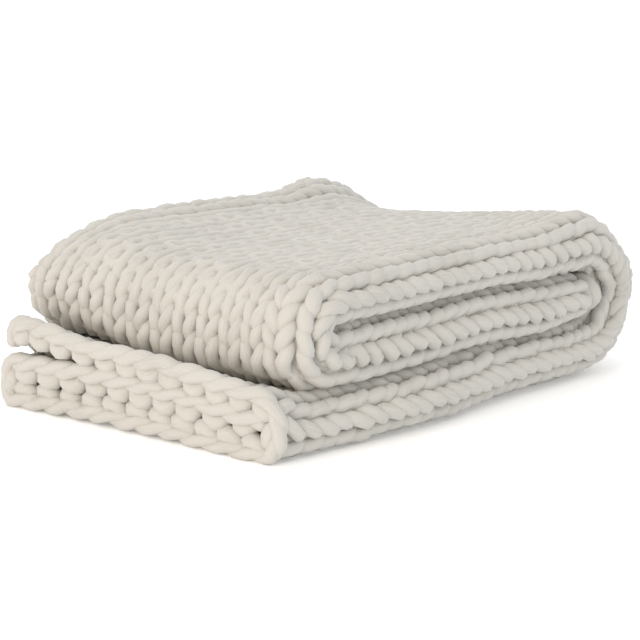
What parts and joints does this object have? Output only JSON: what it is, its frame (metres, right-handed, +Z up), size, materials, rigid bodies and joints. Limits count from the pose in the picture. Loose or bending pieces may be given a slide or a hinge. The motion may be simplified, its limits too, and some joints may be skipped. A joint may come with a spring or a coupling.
{
  "type": "folded chunky knit blanket",
  "caption": "Chunky knitted wool blanket, its sides turned in over each other and the strip folded back over itself and tucked into its own first turn.",
  "frame": {"origin": "on the surface that the folded blanket rests on, under the centre of its bounding box", "axes": "+X along the strip, from the bind-off edge towards the first turn; +Y across the strip, from the near turn of the cloth towards the far side; +Z up"},
  "size_m": [0.547, 0.371, 0.1738],
  "materials": {
    "wool_yarn": "soft matt off-white wool, thick and smoothly spun, hand knitted"
  },
  "bodies": {
    "root": {"blanket": "wool_yarn"}
  },
  "joints": []
}
